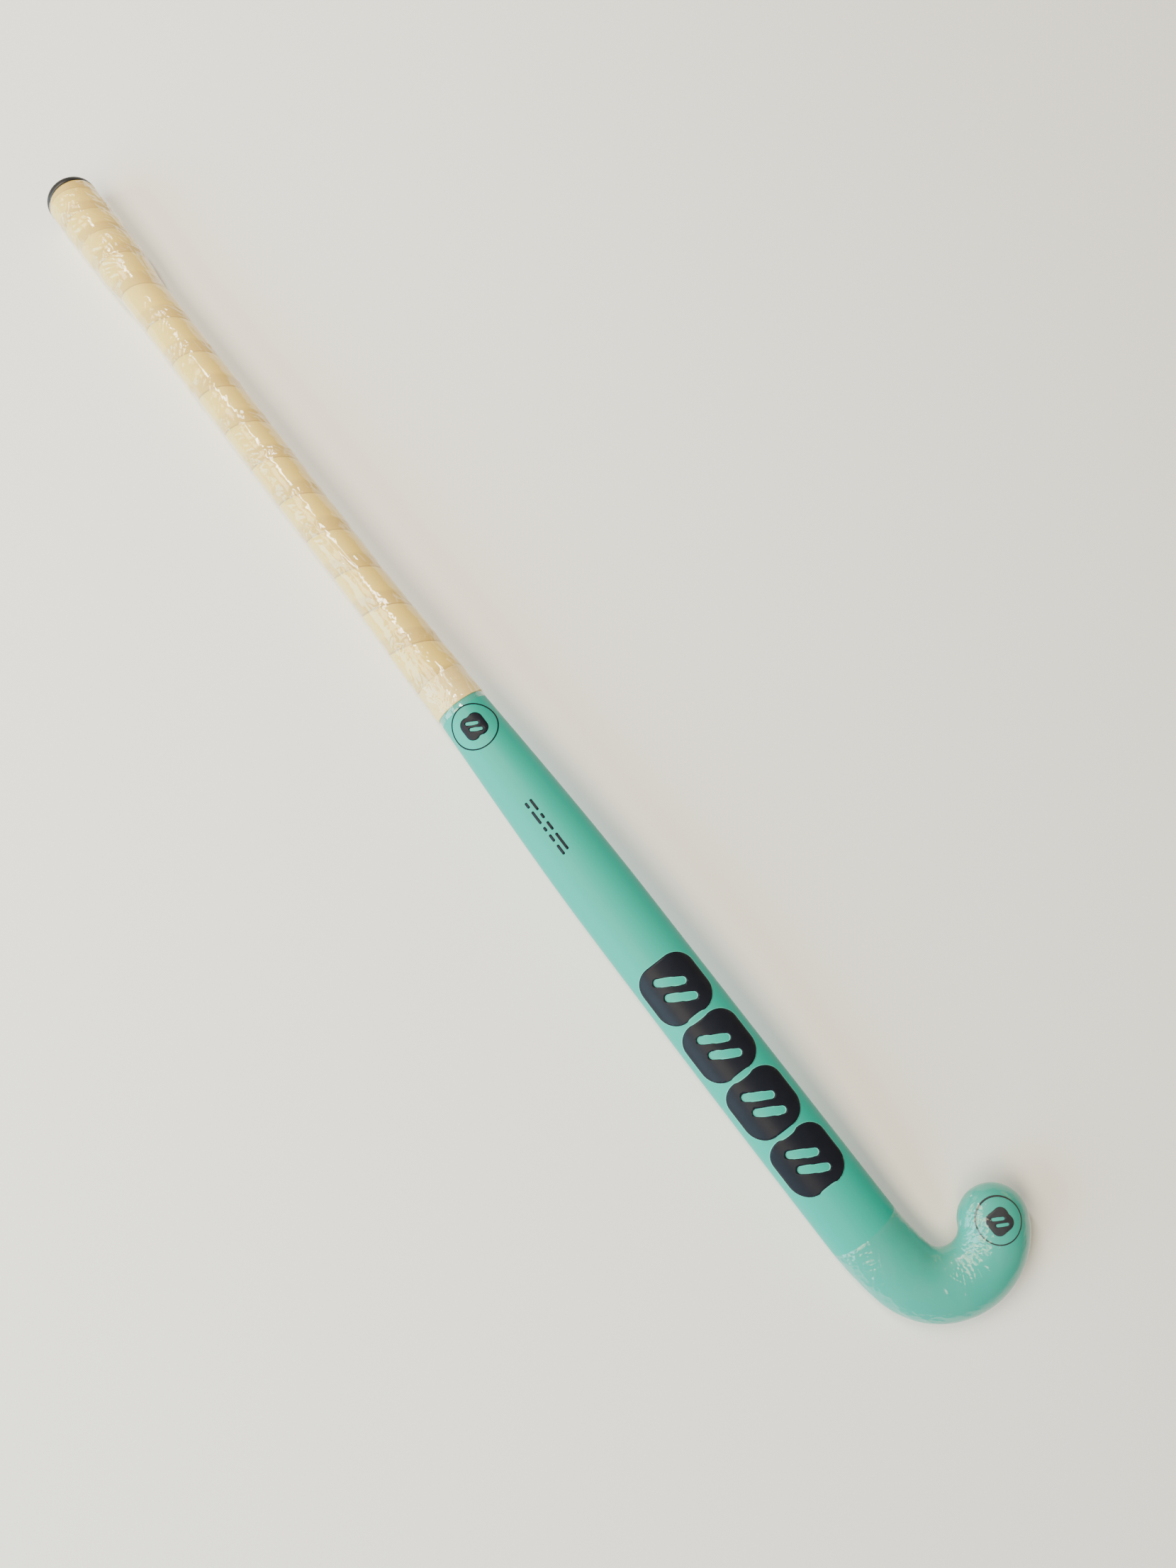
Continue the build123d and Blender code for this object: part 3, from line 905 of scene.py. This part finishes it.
pitch = (mark["length"] + mark["gap"]) / mark["count"]
middles = [(i - (mark["count"] - 1) / 2) * pitch for i in range(mark["count"])]
markMiddle = stick["length"] - mark["toBottom"] - mark["length"] / 2
blocks = [ring for x in middles for ring in blockLoops(pitch - mark["gap"], mark["width"], (x, 0))]
borders = [ring for x in middles
           for ring in blockLoops(pitch - mark["gap"], mark["width"], (x, 0), mark["border"])]
makeMark("largeMark", blocks, onShaft(markMiddle), ink, ["large_mark"])
makeMark("largeMarkBorder", borders, onShaft(markMiddle), paleInk, [], high=0.05)
onBadge = onShaft(wrap["gripEnd"] + badge["belowGrip"])
onPrint = onShaft(wrap["gripEnd"] + smallPrint["belowGrip"])
makeMark("shaftBadge", badgeLoops(badge["shaft"]), onBadge, ink, ["shaft_badge"])
makeMark("toeBadge", badgeLoops(badge["toe"]), onToe(badge["toeAhead"]), ink, ["toe_badge"])

dashes = []
for row, lengths in enumerate(smallPrint["rows"]):
    x = 0.0
    for length in lengths:
        spot = (x + length / 2, -row * smallPrint["pitch"])
        dashes.append(roundBox(length, smallPrint["height"], smallPrint["corner"], 0, spot, 6))
        x += length + smallPrint["gap"]
makeMark("smallMarks", dashes, onPrint, ink, ["small_marks"])

# The hidden pieces keep their solids.
foam = coreFinish("rigidFoam", (0.75, 0.68, 0.5, 1), (0.6, 0.52, 0.36, 1), 900.0, 0.8)
bare = coreFinish("bareLaminate", (0.05, 0.05, 0.055, 1), (0.015, 0.015, 0.017, 1), 500.0, 0.45)
sleeveFoam = coreFinish("sleeveFoam", (0.11, 0.11, 0.11, 1), (0.06, 0.06, 0.06, 1), 1200.0, 0.9)
inside = dict(centre_web=bare, head_core=foam, butt_plug=foam, butt_sleeve=sleeveFoam)
for node, finish in inside.items():
    slots = frame["nodes"][node].data.materials
    slots.clear()
    slots.append(finish)

# Plain pale floor, soft light and the camera.
studio = dict(
    floorReach=4.0,
    floor=(0.9, 0.9, 0.9, 1),
    air=(1.0, 0.95, 0.88, 1),
    airStrength=0.08,
)
reach = studio["floorReach"]
floorMesh = bpy.data.meshes.new("floor")
corners = [(-reach, -reach, 0), (reach, -reach, 0), (reach, reach, 0), (-reach, reach, 0)]
floorMesh.from_pydata(corners, [], [(0, 1, 2, 3)])
floor = bpy.data.objects.new("floor", floorMesh)
bpy.context.scene.collection.objects.link(floor)
pale = Finish("paleFloor")
floorMesh.materials.append(pale.finishWith(pale.node("BsdfPrincipled", None, {
    "Base Color": studio["floor"], "Roughness": 0.9})))

world = bpy.data.worlds.new("studio")
bpy.context.scene.world = world
world.use_nodes = True
world.node_tree.nodes["Background"].inputs[0].default_value = studio["air"]
world.node_tree.nodes["Background"].inputs[1].default_value = studio["airStrength"]


def areaLight(name, place, aim, size, power, colour):
    lamp = bpy.data.lights.new(name, "AREA")
    lamp.shape, lamp.size, lamp.size_y = "RECTANGLE", size[0], size[1]
    lamp.energy, lamp.color = power, colour
    made = bpy.data.objects.new(name, lamp)
    made.location = place
    made.rotation_euler = (Vector(aim) - Vector(place)).to_track_quat("-Z", "Y").to_euler()
    bpy.context.scene.collection.objects.link(made)


# Place, aim, size, power and colour of each light.
areaLight("windowLight", (-0.2, -2.2, 1.0), (0.0, 0.0, 0.0), (2.6, 1.5), 100.0, (0.62, 0.88, 1.0))
areaLight("ceilingLight", (-0.1, -1.1, 2.1), (0.0, 0.0, 0.0), (3.4, 0.9), 88.0, (1.0, 0.82, 0.56))
areaLight("stripLight", (-0.85, 0.0, 1.5), (-0.3, -0.02, 0.0), (0.12, 1.0), 26.0, (1.0, 0.93, 0.78))
areaLight("roomLight", (0.2, 1.6, 0.5), (0.1, 0.0, 0.0), (0.8, 0.3), 1.5, (1.0, 0.70, 0.28))

view = dict(
    place=(0.16287, -0.04831, 0.73265),
    turn=(8.149, 1.227, 52.4397),    # degrees
    lens=36.065,
    sensor=36.0,
)
camera = bpy.data.cameras.new("camera")
camera.sensor_fit, camera.sensor_width, camera.lens = "HORIZONTAL", view["sensor"], view["lens"]
viewer = bpy.data.objects.new("camera", camera)
viewer.location = view["place"]
viewer.rotation_euler = np.radians(view["turn"]).tolist()
bpy.context.scene.collection.objects.link(viewer)
bpy.context.scene.camera = viewer

print("floor, lights and camera set")
